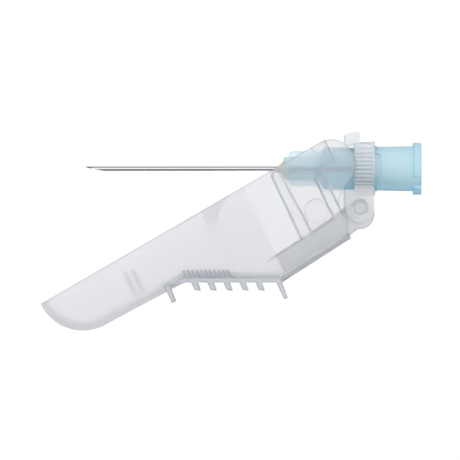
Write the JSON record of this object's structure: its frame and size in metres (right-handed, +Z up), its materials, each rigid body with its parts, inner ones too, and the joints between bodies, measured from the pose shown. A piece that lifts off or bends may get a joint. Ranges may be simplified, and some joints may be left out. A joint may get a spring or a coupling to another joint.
{
  "type": "safety hypodermic needle",
  "caption": "Luer lock hypodermic needle with a hinged sheath that swings over the cannula, translucent teal hub and clear moulded collar and sheath",
  "frame": {"origin": "centre of the mouth of the Luer socket, on the axis of the cannula", "axes": "+X points out of the socket towards the syringe, the cannula runs along -X, +Y is the side of the thumb tab and +Z points up from the surface that the part lies on"},
  "size_m": [0.057, 0.0297, 0.0094],
  "materials": {
    "steel": "polished",
    "adhesive": "gloss",
    "teal_plastic": "satin",
    "clear_plastic": "satin"
  },
  "bodies": {
    "needle": {"hub": "teal_plastic", "cannula": "steel", "adhesive": "adhesive", "collar": "clear_plastic"},
    "sheath": {"sheath": "clear_plastic"}
  },
  "joints": [
    {"name": "sheath_hinge", "type": "hinge", "parent": "needle", "child": "sheath", "pos_m": [-0.00915, -0.00587, 0], "axis": [0, 0, 1], "range_deg": [-25.5, 75]}
  ]
}
